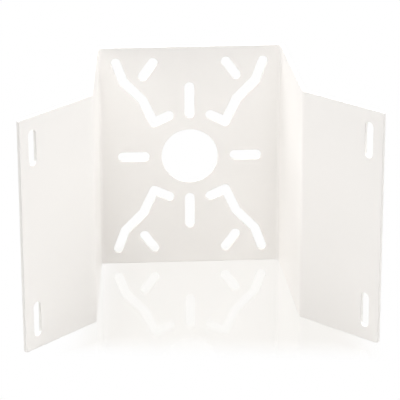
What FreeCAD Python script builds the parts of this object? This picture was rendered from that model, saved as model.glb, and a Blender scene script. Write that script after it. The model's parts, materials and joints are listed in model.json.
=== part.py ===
import FreeCAD, Part
import math
import os

# Corner bracket for a surveillance camera: one strip of steel sheet, folded four times so
# that it saddles the outside corner of a building. The middle of the strip is the camera
# plate, the stretches beside it are the two side walls, and the ends are the two flanges
# that lie flat on the faces of the building.
# Millimetres. X runs across the camera plate, +Y points out of its front, +Z is up.
# The origin is the middle of the space that the bracket takes up, at its lower edge.

# Sheet
sheet_thickness = 3.0
bend_radius = 3.0
edge_bevel = 0.4
corner_round = 1.5

# Folded form, measured between the faces that look towards the building
bracket_height = 200.0
plate_width = 157.0
wall_depth = 124.0
wall_splay = 3.0
flange_width = 83.0
flange_angle = 45.0

# Cable hole in the middle of the camera plate
cable_hole_diameter = 49.0

# Four straight slots that point at the cable hole, like the arms of a cross
cross_slot_width = 8.5
cross_slot_start = 35.0
upright_slot_length = 32.5
level_slot_length = 27.5

# Short slanting slots, one in each quarter of the plate
slant_slot_width = 8.2
slant_slot_length = 23.0
slant_slot_across = 35.8
slant_slot_up = 80.0
slant_slot_angle = 126.0

# Leg-shaped slots, one in each quarter of the plate: toe, shin, thigh and hip
leg_slot_width = 8.2
leg_heel_across = 31.1
leg_heel_up = 31.5
leg_toe_length = 14.5
leg_shin_length = 22.8
leg_thigh_length = 23.7
leg_hip_length = 18.0
leg_shin_angle = 65.0
leg_thigh_angle = 46.0
leg_hip_angle = 70.0

# Wall-screw slots, two in each flange
flange_slot_width = 8.0
flange_slot_length = 30.0
flange_slot_side_margin = 10.0
flange_slot_end_margin = 11.0

# Limits for telling edges and turns apart
same_length = 1e-4
same_heading = 1e-9
least_sharp_angle = 30.0
right_angle = 90.0

# Places worked out from the sizes above
middle_height = bracket_height / 2
wall_spread = wall_depth * math.tan(math.radians(wall_splay))
flange_reach_across = flange_width * math.cos(math.radians(flange_angle))
flange_reach_back = flange_width * math.sin(math.radians(flange_angle))
beveled_off_rear = edge_bevel * math.cos(math.radians(flange_angle))
overall_depth = sheet_thickness + wall_depth + flange_reach_back - beveled_off_rear
plate_front_y = overall_depth / 2
plate_back_y = plate_front_y - sheet_thickness
cut_overrun = sheet_thickness


def point(x, y, z=0.0):
    return FreeCAD.Vector(x, y, z)


def direction(degrees):
    angle = math.radians(degrees)
    return point(math.cos(angle), math.sin(angle))


def to_the_left(heading):
    return point(-heading.y, heading.x)


def fold_corners():
    """Plan of the faces towards the building as sharp corners, left flange to right."""
    half = plate_width / 2
    fold_y = plate_back_y - wall_depth
    right = [
        point(half, plate_back_y),
        point(half + wall_spread, fold_y),
        point(half + wall_spread + flange_reach_across, fold_y - flange_reach_back),
    ]
    left = [point(-corner.x, corner.y) for corner in reversed(right)]
    return left + right


def sheet_face_line(offset):
    """Plan edges of one face of the sheet, offset to the left of the corners' line.

    Every bend has the same radius on its inside, and turns about one centre for both faces.
    """
    corners = fold_corners()
    headings = [(end - start).normalize() for start, end in zip(corners, corners[1:])]
    run_start = corners[0] + to_the_left(headings[0]) * offset
    edges = []
    for corner, before, after in zip(corners[1:], headings, headings[1:]):
        turns_left = before.cross(after).z > 0
        if turns_left:
            centre_distance = bend_radius + sheet_thickness
            radius = centre_distance - offset
            outwards = -1
        else:
            centre_distance = bend_radius
            radius = centre_distance + offset
            outwards = 1
        half_turn = before.getAngle(after) / 2
        inwards = (after - before).normalize()
        centre = corner + inwards * (centre_distance / math.cos(half_turn))
        bend_start = centre + to_the_left(before) * (outwards * radius)
        bend_end = centre + to_the_left(after) * (outwards * radius)
        edges.append(Part.LineSegment(run_start, bend_start).toShape())
        edges.append(Part.Arc(bend_start, centre - inwards * radius, bend_end).toShape())
        run_start = bend_end
    run_end = corners[-1] + to_the_left(headings[-1]) * offset
    edges.append(Part.LineSegment(run_start, run_end).toShape())
    return edges


def line_ends(edges):
    return edges[0].Vertexes[0].Point, edges[-1].Vertexes[-1].Point


def folded_strip():
    """The strip folded to shape, with nothing cut from it yet."""
    back_line = sheet_face_line(0.0)
    front_line = sheet_face_line(sheet_thickness)
    cut_ends = [
        Part.LineSegment(back, front).toShape()
        for back, front in zip(line_ends(back_line), line_ends(front_line))
    ]
    outline = Part.Wire(Part.__sortEdges__(back_line + front_line + cut_ends))
    strip = Part.Face(outline).extrude(point(0, 0, bracket_height))
    free_corners = [
        edge for edge in strip.Edges
        if crosses_sheet(edge) and edge.BoundBox.YMax < plate_back_y - wall_depth
    ]
    return strip.makeFillet(corner_round, free_corners)


def crosses_sheet(edge):
    """True for a level edge that runs straight through the sheet."""
    is_level = edge.BoundBox.ZLength < same_length
    return is_level and abs(edge.Length - sheet_thickness) < same_length


def slot_outline(path, width):
    """Closed outline that stays half a width from a path of straight stretches.

    It runs along the right of the path and back along its other side. The outside of each
    corner is round, as a cutter of the slot's own width leaves it, and the inside is sharp.
    """
    radius = width / 2
    loop = path + path[-2:0:-1]
    headings = [(end - start).normalize() for start, end in zip(loop, loop[1:] + loop[:1])]
    edges = []
    stretch_starts = []
    stretch_ends = []
    for corner, before, after in zip(loop, headings[-1:] + headings[:-1], headings):
        turns_right = before.cross(after).z < -same_heading
        if turns_right:
            reach = radius / math.cos(before.getAngle(after) / 2)
            inside = corner + (after - before).normalize() * reach
            stretch_ends.append(inside)
            stretch_starts.append(inside)
        else:
            arc_start = corner - to_the_left(before) * radius
            arc_end = corner - to_the_left(after) * radius
            outermost = corner + (before - after).normalize() * radius
            edges.append(Part.Arc(arc_start, outermost, arc_end).toShape())
            stretch_ends.append(arc_start)
            stretch_starts.append(arc_end)
    for start, end in zip(stretch_starts, stretch_ends[1:] + stretch_ends[:1]):
        edges.append(Part.LineSegment(start, end).toShape())
    return Part.Wire(Part.__sortEdges__(edges))


def slot_cutter(path, width):
    depth = sheet_thickness + 2 * cut_overrun
    return Part.Face(slot_outline(path, width)).extrude(point(0, 0, depth))


def straight_path(centre, heading, length, width):
    half = heading * ((length - width) / 2)
    return [centre - half, centre + half]


def upright_slot():
    centre = point(0, cross_slot_start + upright_slot_length / 2)
    path = straight_path(centre, direction(right_angle), upright_slot_length, cross_slot_width)
    return slot_cutter(path, cross_slot_width)


def level_slot():
    centre = point(cross_slot_start + level_slot_length / 2, 0)
    path = straight_path(centre, direction(0), level_slot_length, cross_slot_width)
    return slot_cutter(path, cross_slot_width)


def slant_slot():
    centre = point(slant_slot_across, slant_slot_up)
    heading = direction(slant_slot_angle)
    path = straight_path(centre, heading, slant_slot_length, slant_slot_width)
    return slot_cutter(path, slant_slot_width)


def leg_slot():
    """Toe square to the shin, then shin, thigh and hip climb to the plate's corner."""
    heel = point(leg_heel_across, leg_heel_up)
    toe = heel + direction(leg_shin_angle + right_angle) * leg_toe_length
    knee = heel + direction(leg_shin_angle) * leg_shin_length
    thigh_top = knee + direction(leg_thigh_angle) * leg_thigh_length
    hip = thigh_top + direction(leg_hip_angle) * leg_hip_length
    return slot_cutter([toe, heel, knee, thigh_top, hip], leg_slot_width)


def cable_hole():
    depth = sheet_thickness + 2 * cut_overrun
    return Part.makeCylinder(cable_hole_diameter / 2, depth)


def mirrored(shapes, normal):
    return [shape.mirror(point(0, 0), normal) for shape in shapes]


def plate_cutters():
    """Everything cut in the camera plate, drawn flat about its centre and then stood up."""
    quarter = [slant_slot(), leg_slot()]
    upper = quarter + mirrored(quarter, point(1, 0)) + [upright_slot()]
    sides = [level_slot()]
    flat = upper + mirrored(upper, point(0, 1))
    flat += sides + mirrored(sides, point(1, 0)) + [cable_hole()]
    front = point(0, plate_front_y + cut_overrun, middle_height)
    stand_up = FreeCAD.Placement(front, FreeCAD.Rotation(point(1, 0), right_angle))
    return [placed(cutter, stand_up) for cutter in flat]


def flange_cutters():
    """Two upright slots near the free edge of each flange."""
    across = flange_slot_side_margin + flange_slot_width / 2
    up = middle_height - flange_slot_end_margin - flange_slot_length / 2
    upper_path = straight_path(
        point(-across, up), direction(right_angle), flange_slot_length, flange_slot_width)
    upper = slot_cutter(upper_path, flange_slot_width)
    flat = [upper] + mirrored([upper], point(0, 1))
    free_edge = fold_corners()[-1] + direction(right_angle - flange_angle) * (
        sheet_thickness + cut_overrun)
    lean = FreeCAD.Rotation(point(0, 0, 1), -flange_angle)
    stand_up = FreeCAD.Placement(
        free_edge + point(0, 0, middle_height),
        lean.multiply(FreeCAD.Rotation(point(1, 0), right_angle)))
    right = [placed(cutter, stand_up) for cutter in flat]
    return right + mirrored(right, point(1, 0))


def placed(shape, placement):
    copy = shape.copy()
    copy.Placement = placement
    return copy


def is_sharp(edge, solid):
    """True where two faces meet at a clear angle, and not where they run on smoothly."""
    middle = edge.valueAt((edge.FirstParameter + edge.LastParameter) / 2)
    normals = []
    for face in solid.ancestorsOfType(edge, Part.Face):
        normals.append(face.normalAt(*face.Surface.parameter(middle)))
    if len(normals) != 2:
        return False
    return normals[0].getAngle(normals[1]) > math.radians(least_sharp_angle)


def with_broken_edges(sheet):
    """No rim of the sheet is left sharp: every edge that lies in a face is bevelled."""
    rims = [edge for edge in sheet.Edges if not crosses_sheet(edge) and is_sharp(edge, sheet)]
    return sheet.makeChamfer(edge_bevel, rims)


def corner_bracket():
    cut_sheet = folded_strip().cut(plate_cutters() + flange_cutters())
    return with_broken_edges(cut_sheet.Solids[0])


os.makedirs("parts", exist_ok=True)
bracket = corner_bracket()
bracket.exportStep("parts/corner_bracket.step")
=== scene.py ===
"""Looks of a camera corner bracket: one folded steel sheet in white powder coat.

The sheet is folded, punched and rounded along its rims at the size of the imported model, which
stays the fixed frame, and it stands in a plain white studio. Metres. X runs across the camera
plate, +Y points out of its front, +Z is up, and the bracket stands on z = 0.
"""

import json
import math

import bmesh
import bpy
from bpy.props import FloatProperty, FloatVectorProperty, IntProperty, PointerProperty
from bpy.types import Operator, Panel, PropertyGroup
from mathutils import Matrix, Vector


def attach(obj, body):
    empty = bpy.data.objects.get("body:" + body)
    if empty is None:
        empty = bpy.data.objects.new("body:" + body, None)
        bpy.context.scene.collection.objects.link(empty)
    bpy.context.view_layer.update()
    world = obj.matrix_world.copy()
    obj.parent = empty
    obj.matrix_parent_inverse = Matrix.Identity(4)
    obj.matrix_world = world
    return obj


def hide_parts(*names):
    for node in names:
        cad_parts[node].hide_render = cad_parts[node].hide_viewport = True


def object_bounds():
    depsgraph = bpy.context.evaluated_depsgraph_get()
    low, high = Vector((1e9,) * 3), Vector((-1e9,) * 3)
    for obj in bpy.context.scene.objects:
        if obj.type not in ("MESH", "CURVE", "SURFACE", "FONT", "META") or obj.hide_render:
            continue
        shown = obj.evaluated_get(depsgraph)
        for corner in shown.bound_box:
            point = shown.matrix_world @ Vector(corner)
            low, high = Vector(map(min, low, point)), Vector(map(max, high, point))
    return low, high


bl_info = {
    "name": "Camera corner bracket",
    "version": (1, 0, 0),
    "blender": (4, 5, 0),
    "location": "3D Viewport > Sidebar > Bracket",
    "description": "Folds and punches a corner bracket, powder-coats it and lights it",
    "category": "Object",
}

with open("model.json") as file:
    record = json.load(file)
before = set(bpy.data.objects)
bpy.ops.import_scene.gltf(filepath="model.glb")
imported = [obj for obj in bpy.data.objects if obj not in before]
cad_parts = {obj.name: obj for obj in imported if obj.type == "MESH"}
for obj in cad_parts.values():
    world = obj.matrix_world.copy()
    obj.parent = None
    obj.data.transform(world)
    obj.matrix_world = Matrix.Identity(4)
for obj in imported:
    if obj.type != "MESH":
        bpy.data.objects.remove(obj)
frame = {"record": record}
frame_low, frame_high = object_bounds()
mounts = {mount["name"]: mount for mount in frame["record"]["mounts"]}

PLATE_NODE = "corner_bracket"
PIECE_NAME = "folded_bracket"
COAT_SLOT = "white_powder_coat"

MM = 0.001
RIGHT_ANGLE = math.radians(90)
FULL_TURN = math.radians(360)
ACROSS = Vector((1, 0, 0))
FORWARDS = Vector((0, 1, 0))
UP = Vector((0, 0, 1))
BOTH_WAYS = (1, -1)
WHITE = (1, 1, 1, 1)

# Lengths and angles that differ by less than this are the same.
SAME_PLACE = 1e-6
# A face looks along an axis if its normal has more than this along it.
LOOKS_THAT_WAY = 0.5
# Least turn between two faces whose edge gets rounded, and is then shaded as a crease.
SHARP_ANGLE = math.radians(30)
CREASE_ANGLE = math.radians(40)
# Steps of the rounding on the flanges' corners and on the rims.
CORNER_SEGMENTS = 6
RIM_SEGMENTS = 4
# Length of a punch in sheet thicknesses: one before the sheet, one in it and one behind.
PUNCH_LENGTH = 3
# Refractive index of the coat and of the floor's polish.
CLEAR_RESIN_IOR = 1.5
# The camera's sensor, in millimetres, and how far it sees, in metres.
SENSOR_WIDTH = 36
FARTHEST_SEEN = 50

# Where each softbox hangs, in degrees: turn from the camera's side, and height.
SOFTBOXES = {
    "left_high": (-78, 65),
    "right_high": (90, 65),
    "left_rear": (-120, 35),
    "right_side": (90, 35),
    "front_high": (0, 65),
}


def mount_size(mount, size):
    """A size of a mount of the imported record, in metres."""
    return mounts[mount]["dims"][size] * MM


class SheetSizes(PropertyGroup):
    """The folded strip, measured between the faces that look towards the building."""

    thickness: FloatProperty(
        name="Thickness", description="Thickness of the steel sheet",
        default=3 * MM, unit="LENGTH")
    bend_radius: FloatProperty(
        name="Bend radius", description="Radius on the inside of every bend",
        default=3 * MM, unit="LENGTH")
    bend_steps: IntProperty(
        name="Bend steps", description="Faces along a bend of 90 degrees", default=20, min=4)
    plate_width: FloatProperty(
        name="Plate width", description="Width between the two side walls",
        default=157 * MM, unit="LENGTH")
    wall_depth: FloatProperty(
        name="Wall depth", description="From the back of the plate to the flanges' fold",
        default=124 * MM, unit="LENGTH")
    wall_splay: FloatProperty(
        name="Wall splay", description="How far each side wall leans outwards in plan",
        default=math.radians(3), unit="ROTATION")
    flange_angle: FloatProperty(
        name="Flange angle", description="Angle of a flange to the camera plate in plan",
        default=math.radians(45), unit="ROTATION")
    corner_round: FloatProperty(
        name="Corner round", description="Radius of the flanges' free corners",
        default=1.5 * MM, unit="LENGTH")
    edge_round: FloatProperty(
        name="Edge round", description="Radius on every rim of the sheet, holes and slots too",
        default=0.4 * MM, unit="LENGTH")


class SlotSizes(PropertyGroup):
    """The holes in the camera plate, from its centre, and the screw slots in the flanges."""

    cable_hole_radius: FloatProperty(
        name="Cable hole radius", description="Radius of the hole for the camera's cable",
        default=mount_size("cable_hole", "r_mm"), unit="LENGTH")
    cross_width: FloatProperty(
        name="Cross slot width", description="Width of the slots that point at the hole",
        default=2 * mount_size("upright_slots", "hole_r_mm"), unit="LENGTH")
    upright_spacing: FloatProperty(
        name="Upright slot spacing", description="Between the upper and the lower slot",
        default=mount_size("upright_slots", "spacing_y_mm"), unit="LENGTH")
    upright_length: FloatProperty(
        name="Upright slot length", description="Whole length of an upright slot",
        default=mount_size("upright_slots", "slot_length_mm"), unit="LENGTH")
    level_spacing: FloatProperty(
        name="Level slot spacing", description="Between the left and the right slot",
        default=mount_size("level_slots", "spacing_x_mm"), unit="LENGTH")
    level_length: FloatProperty(
        name="Level slot length", description="Whole length of a level slot",
        default=mount_size("level_slots", "slot_length_mm"), unit="LENGTH")
    slant_width: FloatProperty(
        name="Slant slot width", description="Width of a short slanting slot",
        default=8.2 * MM, unit="LENGTH")
    slant_length: FloatProperty(
        name="Slant slot length", description="Whole length of a short slanting slot",
        default=23 * MM, unit="LENGTH")
    slant_place: FloatVectorProperty(
        name="Slant slot place", description="Middle of the slot, across and up",
        default=(35.8 * MM, 80 * MM), size=2, unit="LENGTH")
    slant_angle: FloatProperty(
        name="Slant slot angle", description="Heading of the slot, from level",
        default=math.radians(126), unit="ROTATION")
    leg_width: FloatProperty(
        name="Leg slot width", description="Width of a leg-shaped slot",
        default=8.2 * MM, unit="LENGTH")
    leg_heel: FloatVectorProperty(
        name="Heel place", description="Where toe and shin meet, across and up",
        default=(31.1 * MM, 31.5 * MM), size=2, unit="LENGTH")
    leg_lengths: FloatVectorProperty(
        name="Leg lengths", description="Toe, shin, thigh and hip along their middle line",
        default=(14.5 * MM, 22.8 * MM, 23.7 * MM, 18 * MM), size=4, unit="LENGTH")
    leg_angles: FloatVectorProperty(
        name="Leg angles", description="Headings of shin, thigh and hip, from level",
        default=(math.radians(65), math.radians(46), math.radians(70)), size=3,
        unit="ROTATION")
    flange_slot_width: FloatProperty(
        name="Flange slot width", description="Width of a wall-screw slot",
        default=8 * MM, unit="LENGTH")
    flange_slot_length: FloatProperty(
        name="Flange slot length", description="Whole length of a wall-screw slot",
        default=30 * MM, unit="LENGTH")
    side_margin: FloatProperty(
        name="Side margin", description="From the flange's free edge to a slot",
        default=10 * MM, unit="LENGTH")
    end_margin: FloatProperty(
        name="End margin", description="From the flange's upper or lower edge to a slot",
        default=11 * MM, unit="LENGTH")
    arc_step: FloatProperty(
        name="Arc step", description="Turn from one point of a round rim to the next",
        default=math.radians(7.5), unit="ROTATION")


class CoatFinish(PropertyGroup):
    """The white powder coat, with the fine peel that it dries with."""

    colour: FloatVectorProperty(
        name="Colour", description="Warm white of the coat", subtype="COLOR",
        default=(0.905, 0.887, 0.866), min=0, max=1)
    cloud_colour: FloatVectorProperty(
        name="Cloud colour", description="The coat where it lies a little thinner",
        subtype="COLOR", default=(0.893, 0.875, 0.853), min=0, max=1)
    cloud_size: FloatProperty(
        name="Cloud size", description="Size of the clouds in the coat's colour",
        default=60 * MM, unit="LENGTH")
    roughness: FloatProperty(
        name="Roughness", description="Roughness of the satin coat",
        default=0.38, min=0, max=1, subtype="FACTOR")
    roughness_spread: FloatProperty(
        name="Roughness spread", description="How far the roughness varies either way",
        default=0.05, min=0, max=1, subtype="FACTOR")
    peel_size: FloatProperty(
        name="Peel size", description="Width of one dimple of the orange peel",
        default=1.6 * MM, unit="LENGTH")
    peel_depth: FloatProperty(
        name="Peel depth", description="Depth of the orange peel",
        default=0.012 * MM, unit="LENGTH")
    grain_size: FloatProperty(
        name="Grain size", description="Width of the powder's fine grain",
        default=0.25 * MM, unit="LENGTH")
    grain_depth: FloatProperty(
        name="Grain depth", description="Depth of the powder's fine grain",
        default=0.002 * MM, unit="LENGTH")


class StudioSizes(PropertyGroup):
    """Camera, lamps and floor."""

    lens: FloatProperty(
        name="Lens", description="Focal length in millimetres on a sensor 36 mm wide",
        default=211.235, unit="CAMERA")
    camera_distance: FloatProperty(
        name="Camera distance", description="From the aim point to the camera",
        default=2.06531, unit="LENGTH")
    camera_turn: FloatProperty(
        name="Camera turn", description="Heading to the right of the plate's normal",
        default=math.radians(3.35), unit="ROTATION")
    camera_pitch: FloatProperty(
        name="Camera pitch", description="How far the camera looks down",
        default=math.radians(21.427), unit="ROTATION")
    camera_roll: FloatProperty(
        name="Camera roll", description="Turn about the line of sight",
        default=math.radians(0.166), unit="ROTATION")
    aim: FloatVectorProperty(
        name="Aim", description="Point in the middle of the picture", size=3,
        default=(0.0089, 0.0897, 0.0583), unit="LENGTH")
    floor_size: FloatProperty(
        name="Floor size", description="Side of the floor", default=12, unit="LENGTH")
    floor_colour: FloatVectorProperty(
        name="Floor colour", description="White of the floor", subtype="COLOR",
        default=(0.85, 0.838, 0.82), min=0, max=1)
    floor_roughness: FloatProperty(
        name="Floor roughness", description="Roughness of the polished floor",
        default=0.3, min=0, max=1, subtype="FACTOR")
    floor_gloss: FloatProperty(
        name="Floor gloss", description="How strongly the camera sees the floor mirror",
        default=0.78, min=0, max=1, subtype="FACTOR")
    gloss_roughness: FloatProperty(
        name="Gloss roughness", description="Roughness of that mirror image",
        default=0.08, min=0, max=1, subtype="FACTOR")
    floor_haze: FloatProperty(
        name="Floor haze", description="Share of plain white over the floor at the bracket",
        default=0.66, min=0, max=1, subtype="FACTOR")
    # Painted shade: near the bracket the floor's plain white is drawn in this darker, warmer
    # colour, standing in for the shade around the bracket.
    painted_floor_shade: FloatVectorProperty(
        name="Haze colour", description="Colour of that white at the bracket",
        subtype="COLOR", default=(0.955, 0.94, 0.91), min=0, max=1)
    # The patch below is where that painted floor shade lies, and where it fades to plain white.
    haze_middle: FloatVectorProperty(
        name="Haze middle", description="Middle of the patch of floor that stays in sight",
        size=3, default=(0.028, 0.01, 0), unit="LENGTH")
    haze_turn: FloatProperty(
        name="Haze turn", description="Turn of that patch in plan, towards the camera",
        default=math.radians(6.5), unit="ROTATION")
    haze_start: FloatVectorProperty(
        name="Haze start", description="From its middle to where it starts to fade",
        size=3, default=(0.086, 0.078, 1), unit="LENGTH")
    haze_end: FloatVectorProperty(
        name="Haze end", description="From its middle to where the floor is plain white",
        size=3, default=(0.136, 0.125, 2), unit="LENGTH")
    lamp_distance: FloatProperty(
        name="Lamp distance", description="From the bracket's middle to each softbox",
        default=1.3, unit="LENGTH")
    lamp_size: FloatProperty(
        name="Lamp size", description="Side of each softbox", default=0.65, unit="LENGTH")
    left_high_power: FloatProperty(
        name="Left high power", description="Softbox high on the left",
        default=8.95, unit="POWER")
    right_high_power: FloatProperty(
        name="Right high power", description="Softbox high on the right",
        default=8.3, unit="POWER")
    left_rear_power: FloatProperty(
        name="Left rear power", description="Softbox behind the bracket on the left",
        default=7.2, unit="POWER")
    right_side_power: FloatProperty(
        name="Right side power", description="Softbox beside the bracket on the right",
        default=5.3, unit="POWER")
    front_high_power: FloatProperty(
        name="Front high power", description="Softbox high above the camera",
        default=8.65, unit="POWER")


def deselect_all():
    if bpy.context.mode != "OBJECT":
        bpy.ops.object.mode_set(mode="OBJECT")
    bpy.ops.object.select_all(action="DESELECT")


def make_active(piece):
    """Selects the piece alone, for the operators that follow."""
    deselect_all()
    piece.select_set(True)
    bpy.context.view_layer.objects.active = piece


def pick(piece, kind, wanted):
    """In edit mode, selects the faces or edges of the piece for which wanted is true."""
    bpy.ops.mesh.select_mode(type=kind)
    bpy.ops.mesh.select_all(action="DESELECT")
    mesh = bmesh.from_edit_mesh(piece.data)
    parts = mesh.faces if kind == "FACE" else mesh.edges
    found = [part for part in parts if wanted(part)]
    for part in found:
        part.select_set(True)
    bmesh.update_edit_mesh(piece.data)
    if not found:
        raise RuntimeError(f"{piece.name} has no {kind.lower()} to work on here")


def apply_modifier(piece, name, kind, **values):
    """Adds a modifier with the given values to the piece, and applies it at once."""
    make_active(piece)
    modifier = piece.modifiers.new(name, kind)
    for key, value in values.items():
        setattr(modifier, key, value)
    bpy.ops.object.modifier_apply(modifier=name)


def heading(angle):
    """Unit vector in the plane, at that angle from its first axis."""
    return Vector((math.cos(angle), math.sin(angle)))


class SheetPlan:
    """Directions and lengths of the right half of the strip in plan, plate to flange."""

    def __init__(self, sheet):
        self.thickness = sheet.thickness
        self.back_y = frame_high.y - sheet.thickness
        self.front_y = frame_high.y
        self.height = frame_high.z - frame_low.z
        self.middle_height = (frame_high.z + frame_low.z) / 2
        self.wall_turn = RIGHT_ANGLE - sheet.wall_splay
        self.flange_turn = self.wall_turn - sheet.flange_angle
        self.wall_heading = heading(-self.wall_turn).to_3d()
        self.flange_heading = heading(-sheet.flange_angle).to_3d()
        self.wall_front = heading(sheet.wall_splay).to_3d()
        self.flange_front = heading(RIGHT_ANGLE - sheet.flange_angle).to_3d()
        outer_radius = sheet.bend_radius + sheet.thickness
        inner_cut = sheet.bend_radius * math.tan(self.wall_turn / 2)
        outer_cut = outer_radius * math.tan(self.flange_turn / 2)
        half_width = sheet.plate_width / 2
        plate_corner = Vector((half_width, self.back_y, 0))
        wall_length = sheet.wall_depth / math.cos(sheet.wall_splay)
        self.flange_corner = plate_corner + self.wall_heading * wall_length
        self.plate_run = half_width - inner_cut
        self.wall_run = wall_length - inner_cut - outer_cut
        self.wall_bend_centre = Vector(
            (self.plate_run, self.back_y - sheet.bend_radius, 0))
        self.flange_bend_centre = (
            self.flange_corner - self.wall_heading * outer_cut
            + self.wall_front * outer_radius)
        flange_width = self.flange_width(sheet)
        self.flange_run = flange_width - outer_cut
        self.free_edge = self.flange_corner + self.flange_heading * flange_width

    def flange_width(self, sheet):
        """Width at which the rounded free edge just reaches the side of the frame's box."""
        lean_x = self.flange_heading.x
        front_x = self.flange_front.x
        rounded_off = sheet.edge_round * (lean_x + front_x - 1)
        reach = frame_high.x - self.flange_corner.x - sheet.thickness * front_x
        return (reach + rounded_off) / lean_x


def fold_sheet(sheet, plan):
    """Folds the right half of the strip face by face, and mirrors it to the left."""
    deselect_all()
    bpy.ops.mesh.primitive_cube_add(
        size=1, scale=(plan.plate_run, plan.thickness, plan.height),
        location=(plan.plate_run / 2, plan.back_y + plan.thickness / 2, plan.middle_height))
    piece = bpy.context.object
    piece.name = PIECE_NAME
    piece.data.name = PIECE_NAME
    bpy.ops.object.transform_apply(location=True, rotation=True, scale=True)
    bpy.ops.object.mode_set(mode="EDIT")
    pick(piece, "FACE", lambda face: face.normal.x < -LOOKS_THAT_WAY)
    bpy.ops.mesh.delete(type="FACE")
    pick(piece, "FACE", lambda face: face.normal.x > LOOKS_THAT_WAY)
    bend(sheet, plan.wall_turn, plan.wall_bend_centre, UP)
    run_on(plan.wall_heading * plan.wall_run)
    bend(sheet, plan.flange_turn, plan.flange_bend_centre, -UP)
    run_on(plan.flange_heading * plan.flange_run)
    round_free_corners(piece, sheet, plan)
    bpy.ops.object.mode_set(mode="OBJECT")
    apply_modifier(
        piece, "left_half", "MIRROR", use_clip=True, merge_threshold=SAME_PLACE)
    clean_up(piece)
    return piece


def bend(sheet, turn, centre, axis):
    """Carries the selected end of the sheet round one bend."""
    steps = max(1, round(sheet.bend_steps * turn / RIGHT_ANGLE))
    bpy.ops.mesh.spin(steps=steps, angle=turn, center=centre, axis=axis)


def run_on(way):
    """Carries the selected faces straight on, with sides behind them."""
    bpy.ops.mesh.extrude_region_move(TRANSFORM_OT_translate={"value": way})


def crosses_sheet(edge, thickness):
    """True for a level edge that runs straight through the sheet."""
    start, end = (vertex.co for vertex in edge.verts)
    is_level = abs(end.z - start.z) < SAME_PLACE
    return is_level and abs((end - start).length - thickness) < SAME_PLACE


def round_free_corners(piece, sheet, plan):
    """Rounds the two corners of the flange's free edge, as seen from its front."""

    def is_free_corner(edge):
        past_end = (edge.verts[0].co - plan.free_edge).dot(plan.flange_heading)
        return crosses_sheet(edge, sheet.thickness) and past_end > -SAME_PLACE

    pick(piece, "EDGE", is_free_corner)
    bpy.ops.mesh.bevel(
        offset=sheet.corner_round, segments=CORNER_SEGMENTS, affect="EDGES")


def clean_up(piece):
    """Closes seams and turns every face outwards."""
    make_active(piece)
    bpy.ops.object.mode_set(mode="EDIT")
    bpy.ops.mesh.select_all(action="SELECT")
    bpy.ops.mesh.remove_doubles(threshold=SAME_PLACE)
    bpy.ops.mesh.normals_make_consistent(inside=False)
    bpy.ops.object.mode_set(mode="OBJECT")


def arc_points(centre, radius, start_angle, turn, step):
    """Points along an arc, both ends included, no more than a step apart."""
    count = max(1, math.ceil(turn / step - SAME_PLACE))
    return [
        centre + heading(start_angle + turn * index / count) * radius
        for index in range(count + 1)
    ]


def slot_outline(path, width, step):
    """Closed outline that stays half a width from a path of straight stretches.

    The outside of each corner is round, as the cutter leaves it, and the inside is sharp.
    """
    radius = width / 2
    loop = path + path[-2:0:-1]
    ways = [(end - start).normalized() for start, end in zip(loop, loop[1:] + loop[:1])]
    outline = []
    for corner, before, after in zip(loop, ways[-1:] + ways[:-1], ways):
        sideways = before.x * after.y - before.y * after.x
        turn = abs(math.atan2(sideways, before.dot(after)))
        if sideways < -SAME_PLACE:
            inwards = (after - before).normalized()
            outline.append(corner + inwards * (radius / math.cos(turn / 2)))
        else:
            right_side = math.atan2(-before.x, before.y)
            outline += arc_points(corner, radius, right_side, turn, step)
    return outline


def straight_slot(centre, angle, length, width, step):
    half = heading(angle) * ((length - width) / 2)
    return slot_outline([centre - half, centre + half], width, step)


def leg_slot(slots):
    """Toe square to the shin, then shin, thigh and hip climb to the plate's corner."""
    toe_length, shin_length, thigh_length, hip_length = slots.leg_lengths
    shin_angle, thigh_angle, hip_angle = slots.leg_angles
    heel = Vector(slots.leg_heel)
    toe = heel + heading(shin_angle + RIGHT_ANGLE) * toe_length
    knee = heel + heading(shin_angle) * shin_length
    thigh_top = knee + heading(thigh_angle) * thigh_length
    hip = thigh_top + heading(hip_angle) * hip_length
    return slot_outline([toe, heel, knee, thigh_top, hip], slots.leg_width, slots.arc_step)


def mirrored(outline, across, up):
    """The outline with each axis kept at 1 and turned round at -1."""
    return [Vector((point.x * across, point.y * up)) for point in outline]


def plate_outlines(slots):
    """Outlines of every hole in the camera plate, drawn about its centre."""
    slant = straight_slot(
        Vector(slots.slant_place), slots.slant_angle, slots.slant_length,
        slots.slant_width, slots.arc_step)
    quarter = [slant, leg_slot(slots)]
    outlines = [
        mirrored(shape, x, z) for shape in quarter for x in BOTH_WAYS for z in BOTH_WAYS
    ]
    upright = straight_slot(
        Vector((0, slots.upright_spacing / 2)), RIGHT_ANGLE, slots.upright_length,
        slots.cross_width, slots.arc_step)
    level = straight_slot(
        Vector((slots.level_spacing / 2, 0)), 0, slots.level_length,
        slots.cross_width, slots.arc_step)
    outlines += [mirrored(upright, 1, z) for z in BOTH_WAYS]
    outlines += [mirrored(level, x, 1) for x in BOTH_WAYS]
    circle = arc_points(
        Vector((0, 0)), slots.cable_hole_radius, 0, FULL_TURN, slots.arc_step / 2)
    outlines.append(circle[:-1])
    return outlines


def flange_outlines(slots, plan):
    """The two upright slots of a flange, drawn from its free edge at middle height."""
    across = slots.side_margin + slots.flange_slot_width / 2
    up = plan.height / 2 - slots.end_margin - slots.flange_slot_length / 2
    upper = straight_slot(
        Vector((-across, up)), RIGHT_ANGLE, slots.flange_slot_length,
        slots.flange_slot_width, slots.arc_step)
    return [upper, mirrored(upper, 1, -1)]


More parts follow.
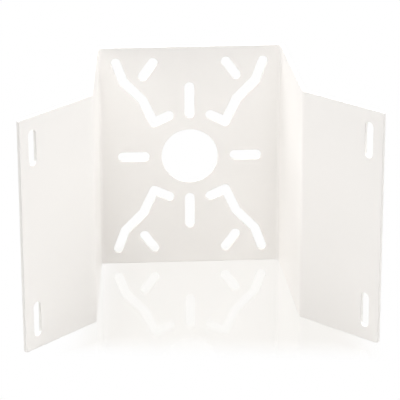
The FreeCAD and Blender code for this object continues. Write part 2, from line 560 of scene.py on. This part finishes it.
def punch(outline, origin, across, front, thickness):
    """A closed tool with the outline's section, through the sheet and well past both faces.

    Origin lies on the sheet's front face. The outline's first axis runs along across.
    """
    deselect_all()
    bpy.ops.mesh.primitive_circle_add(
        vertices=len(outline), radius=thickness, fill_type="NGON")
    tool = bpy.context.object
    bpy.ops.object.mode_set(mode="EDIT")
    mesh = bmesh.from_edit_mesh(tool.data)
    for vertex, point in zip(mesh.verts, outline):
        vertex.co = origin + across * point.x + UP * point.y + front * thickness
    bmesh.update_edit_mesh(tool.data)
    bpy.ops.mesh.select_all(action="SELECT")
    run_on(-front * (PUNCH_LENGTH * thickness))
    bpy.ops.object.mode_set(mode="OBJECT")
    clean_up(tool)
    return tool


def punch_holes(piece, slots, plan):
    """Cuts every hole and slot through the folded sheet in one go."""
    plate_middle = Vector((0, plan.front_y, plan.middle_height))
    tools = [
        punch(outline, plate_middle, ACROSS, FORWARDS, plan.thickness)
        for outline in plate_outlines(slots)
    ]
    edge_middle = plan.free_edge + plan.flange_front * plan.thickness
    edge_middle.z = plan.middle_height
    for side in BOTH_WAYS:
        to_side = Matrix.Diagonal((side, 1, 1))
        tools += [
            punch(outline, to_side @ edge_middle, to_side @ plan.flange_heading,
                  to_side @ plan.flange_front, plan.thickness)
            for outline in flange_outlines(slots, plan)
        ]
    make_active(tools[0])
    for tool in tools:
        tool.select_set(True)
    bpy.ops.object.join()
    joined = bpy.context.object
    apply_modifier(
        piece, "punched", "BOOLEAN", operation="DIFFERENCE", solver="EXACT", object=joined)
    bpy.data.objects.remove(joined)
    clean_up(piece)


def round_rims(piece, sheet):
    """Rounds every sharp edge that lies in a face of the sheet."""

    def is_rim(edge):
        is_sharp = edge.calc_face_angle() > SHARP_ANGLE
        return is_sharp and not crosses_sheet(edge, sheet.thickness)

    make_active(piece)
    bpy.ops.object.mode_set(mode="EDIT")
    pick(piece, "EDGE", is_rim)
    bpy.ops.mesh.bevel(
        offset=sheet.edge_round, segments=RIM_SEGMENTS, affect="EDGES", loop_slide=False)
    bpy.ops.object.mode_set(mode="OBJECT")


def shade_smooth(piece):
    """Shades bends and rims round, and keeps the wide faces flat."""
    make_active(piece)
    bpy.ops.object.shade_smooth_by_angle(angle=CREASE_ANGLE)
    apply_modifier(
        piece, "flat_faces_first", "WEIGHTED_NORMAL", weight=100, keep_sharp=True)


class NodeMaker:
    """Adds and links the nodes of one material or world."""

    def __init__(self, owner):
        owner.use_nodes = True
        self.tree = owner.node_tree
        self.tree.nodes.clear()

    def add(self, kind, inputs=None, **values):
        """A new node. An input is a plain value, or the socket of another node."""
        node = self.tree.nodes.new(kind)
        for key, value in values.items():
            setattr(node, key, value)
        for key, value in (inputs or {}).items():
            if isinstance(value, bpy.types.NodeSocket):
                self.tree.links.new(value, node.inputs[key])
            else:
                node.inputs[key].default_value = value
        return node


def powder_coat(finish):
    """Satin warm white with faint clouds, orange peel and the powder's fine grain."""
    material = bpy.data.materials.new(COAT_SLOT)
    nodes = NodeMaker(material)
    place = nodes.add("ShaderNodeTexCoord").outputs["Object"]
    clouds = nodes.add(
        "ShaderNodeTexNoise",
        {"Vector": place, "Scale": 1 / finish.cloud_size, "Detail": 3.0})
    colour = nodes.add(
        "ShaderNodeMix",
        {"Factor": clouds.outputs["Fac"], "A": (*finish.colour, 1),
         "B": (*finish.cloud_colour, 1)},
        data_type="RGBA")
    peel = nodes.add(
        "ShaderNodeTexNoise",
        {"Vector": place, "Scale": 1 / finish.peel_size, "Detail": 1.5, "Roughness": 0.45})
    grain = nodes.add(
        "ShaderNodeTexNoise",
        {"Vector": place, "Scale": 1 / finish.grain_size, "Detail": 2.0})
    roughness = nodes.add(
        "ShaderNodeMapRange",
        {"Value": peel.outputs["Fac"],
         "To Min": finish.roughness - finish.roughness_spread,
         "To Max": finish.roughness + finish.roughness_spread})
    peel_bump = nodes.add(
        "ShaderNodeBump",
        {"Height": peel.outputs["Fac"], "Distance": finish.peel_depth, "Strength": 1.0})
    grain_bump = nodes.add(
        "ShaderNodeBump",
        {"Height": grain.outputs["Fac"], "Distance": finish.grain_depth, "Strength": 1.0,
         "Normal": peel_bump.outputs["Normal"]})
    shader = nodes.add(
        "ShaderNodeBsdfPrincipled",
        {"Base Color": colour.outputs["Result"], "Roughness": roughness.outputs["Result"],
         "IOR": CLEAR_RESIN_IOR, "Normal": grain_bump.outputs["Normal"]})
    nodes.add("ShaderNodeOutputMaterial", {"Surface": shader.outputs["BSDF"]})
    return material


class BRACKET_OT_folded_bracket(Operator):
    """Fold, punch, deburr and powder-coat the bracket"""

    bl_idname = "bracket.folded_bracket"
    bl_label = "Folded bracket"

    def execute(self, context):
        sheet = context.scene.bracket_sheet
        slots = context.scene.bracket_slots
        plan = SheetPlan(sheet)
        piece = fold_sheet(sheet, plan)
        punch_holes(piece, slots, plan)
        round_rims(piece, sheet)
        shade_smooth(piece)
        piece.data.materials.clear()
        piece.data.materials.append(powder_coat(context.scene.bracket_finish))
        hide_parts(PLATE_NODE)
        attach(piece, "root")
        return {"FINISHED"}


def polished_floor(nodes, path, studio):
    """Shader of the lit floor, with a mirror image in it that only the camera sees."""
    lit = nodes.add(
        "ShaderNodeBsdfPrincipled",
        {"Base Color": (*studio.floor_colour, 1), "Roughness": studio.floor_roughness,
         "IOR": CLEAR_RESIN_IOR})
    gloss = nodes.add(
        "ShaderNodeBsdfGlossy", {"Color": WHITE, "Roughness": studio.gloss_roughness})
    gloss_seen = nodes.add(
        "ShaderNodeMath",
        {0: path.outputs["Is Camera Ray"], 1: studio.floor_gloss}, operation="MULTIPLY")
    polished = nodes.add(
        "ShaderNodeMixShader",
        {0: gloss_seen.outputs["Value"], 1: lit.outputs["BSDF"], 2: gloss.outputs["BSDF"]})
    return polished.outputs["Shader"]


def fade_from_bracket(nodes, studio):
    """From 0 on the patch of floor around the bracket, where its shade is painted, to 1 well
    away.
    """
    place = nodes.add("ShaderNodeTexCoord").outputs["Object"]
    from_middle = nodes.add(
        "ShaderNodeVectorMath", {0: place, 1: studio.haze_middle}, operation="SUBTRACT")
    along_patch = nodes.add(
        "ShaderNodeVectorRotate",
        {"Vector": from_middle.outputs["Vector"], "Angle": studio.haze_turn},
        rotation_type="Z_AXIS")
    either_way = nodes.add(
        "ShaderNodeVectorMath", {0: along_patch.outputs["Vector"]}, operation="ABSOLUTE")
    fades = nodes.add(
        "ShaderNodeMapRange",
        {"Vector": either_way.outputs["Vector"], "From Min": studio.haze_start,
         "From Max": studio.haze_end},
        data_type="FLOAT_VECTOR", interpolation_type="SMOOTHSTEP")
    ways = nodes.add("ShaderNodeSeparateXYZ", {"Vector": fades.outputs["Vector"]})
    fade = nodes.add(
        "ShaderNodeMath", {0: ways.outputs["X"], 1: ways.outputs["Y"]}, operation="MAXIMUM")
    return fade.outputs["Value"]


def seen_or_mirrored(nodes, path):
    """1 for the camera and in glossy reflections, and 0 on every other ray."""
    seen = nodes.add(
        "ShaderNodeMath",
        {0: path.outputs["Is Camera Ray"], 1: path.outputs["Is Glossy Ray"]},
        operation="MAXIMUM")
    return seen.outputs["Value"]


def polished_white(studio):
    """Polished white that a camera sees fade to plain white away from the bracket, with painted
    shade near it.
    """
    material = bpy.data.materials.new("polished_white")
    nodes = NodeMaker(material)
    path = nodes.add("ShaderNodeLightPath")
    fade = fade_from_bracket(nodes, studio)
    # Painted shade: near the bracket the plain white is a darker, warmer tone, which fades to
    # white away from it.
    painted_floor_shade = nodes.add(
        "ShaderNodeMix",
        {"Factor": fade, "A": (*studio.painted_floor_shade, 1), "B": WHITE}, data_type="RGBA")
    # This glow is plain white away from the bracket and painted shade near it.
    plain = nodes.add(
        "ShaderNodeEmission", {"Color": painted_floor_shade.outputs["Result"], "Strength": 1.0})
    haze = nodes.add(
        "ShaderNodeMapRange",
        {"Value": fade, "To Min": studio.floor_haze, "To Max": 1.0})
    haze_seen = nodes.add(
        "ShaderNodeMath",
        {0: seen_or_mirrored(nodes, path), 1: haze.outputs["Result"]},
        operation="MULTIPLY")
    mix = nodes.add(
        "ShaderNodeMixShader",
        {0: haze_seen.outputs["Value"], 1: polished_floor(nodes, path, studio),
         2: plain.outputs["Emission"]})
    nodes.add("ShaderNodeOutputMaterial", {"Surface": mix.outputs["Shader"]})
    return material


def lay_floor(studio):
    deselect_all()
    bpy.ops.mesh.primitive_plane_add(size=studio.floor_size, location=(0, 0, frame_low.z))
    floor = bpy.context.object
    floor.name = "studio_floor"
    bpy.ops.object.transform_apply(location=True, rotation=True, scale=True)
    floor.data.materials.append(polished_white(studio))


def set_sky():
    """Gives no light, and is plain white to the camera and in what is glossy or clear."""
    world = bpy.data.worlds.new("white_studio")
    bpy.context.scene.world = world
    nodes = NodeMaker(world)
    path = nodes.add("ShaderNodeLightPath")
    seen_or_through = nodes.add(
        "ShaderNodeMath",
        {0: seen_or_mirrored(nodes, path), 1: path.outputs["Is Transmission Ray"]},
        operation="MAXIMUM")
    white = nodes.add(
        "ShaderNodeBackground",
        {"Color": WHITE, "Strength": seen_or_through.outputs["Value"]})
    nodes.add("ShaderNodeOutputWorld", {"Surface": white.outputs["Background"]})


def hang_softbox(name, turn, height, power, studio):
    """Hangs a softbox that faces the bracket's middle.

    Turn runs about the bracket from the camera's side to the right, and height up from the
    floor.
    """
    middle = (frame_low + frame_high) / 2
    way = Vector((
        math.sin(turn) * math.cos(height), -math.cos(turn) * math.cos(height),
        math.sin(height)))
    deselect_all()
    bpy.ops.object.light_add(type="AREA", location=middle + way * studio.lamp_distance)
    lamp = bpy.context.object
    lamp.name = name
    lamp.data.shape = "SQUARE"
    lamp.data.size = studio.lamp_size
    lamp.data.energy = power
    lamp.rotation_euler = way.to_track_quat("Z", "Y").to_euler()
    lamp.visible_camera = False


def set_camera(studio):
    """Puts the camera where the bracket appears as it does in its photograph."""
    turned = (
        Matrix.Rotation(-studio.camera_turn, 4, "Z")
        @ Matrix.Rotation(RIGHT_ANGLE - studio.camera_pitch, 4, "X")
        @ Matrix.Rotation(-studio.camera_roll, 4, "Z"))
    backwards = turned.to_3x3() @ UP
    place = Vector(studio.aim) + backwards * studio.camera_distance
    bpy.ops.object.camera_add(location=place)
    camera = bpy.context.object
    camera.name = "studio_camera"
    camera.matrix_world = Matrix.Translation(place) @ turned
    camera.data.sensor_width = SENSOR_WIDTH
    camera.data.lens = studio.lens
    camera.data.clip_end = FARTHEST_SEEN
    bpy.context.scene.camera = camera


class BRACKET_OT_studio(Operator):
    """Lay the floor, hang the lamps and place the camera"""

    bl_idname = "bracket.studio"
    bl_label = "Studio"

    def execute(self, context):
        studio = context.scene.bracket_studio
        lay_floor(studio)
        set_sky()
        for name, (turn, height) in SOFTBOXES.items():
            power = getattr(studio, f"{name}_power")
            hang_softbox(name, math.radians(turn), math.radians(height), power, studio)
        set_camera(studio)
        context.scene.view_settings.view_transform = "Standard"
        return {"FINISHED"}


class BRACKET_PT_sidebar(Panel):
    """Sizes and steps of the bracket, in the sidebar of the 3D view"""

    bl_idname = "BRACKET_PT_sidebar"
    bl_label = "Corner bracket"
    bl_space_type = "VIEW_3D"
    bl_region_type = "UI"
    bl_category = "Bracket"

    def draw(self, context):
        for group, kind in GROUPS.items():
            box = self.layout.box()
            settings = getattr(context.scene, group)
            for name in kind.__annotations__:
                box.prop(settings, name)
        self.layout.operator(BRACKET_OT_folded_bracket.bl_idname)
        self.layout.operator(BRACKET_OT_studio.bl_idname)


GROUPS = {
    "bracket_sheet": SheetSizes,
    "bracket_slots": SlotSizes,
    "bracket_finish": CoatFinish,
    "bracket_studio": StudioSizes,
}
CLASSES = (
    *GROUPS.values(), BRACKET_OT_folded_bracket, BRACKET_OT_studio, BRACKET_PT_sidebar)


def register():
    for kind in CLASSES:
        bpy.utils.register_class(kind)
    for name, kind in GROUPS.items():
        setattr(bpy.types.Scene, name, PointerProperty(type=kind))


def unregister():
    for name in GROUPS:
        delattr(bpy.types.Scene, name)
    for kind in reversed(CLASSES):
        bpy.utils.unregister_class(kind)


def main():
    register()
    bpy.ops.bracket.folded_bracket()
    bpy.ops.bracket.studio()


if __name__ == "__main__":
    main()
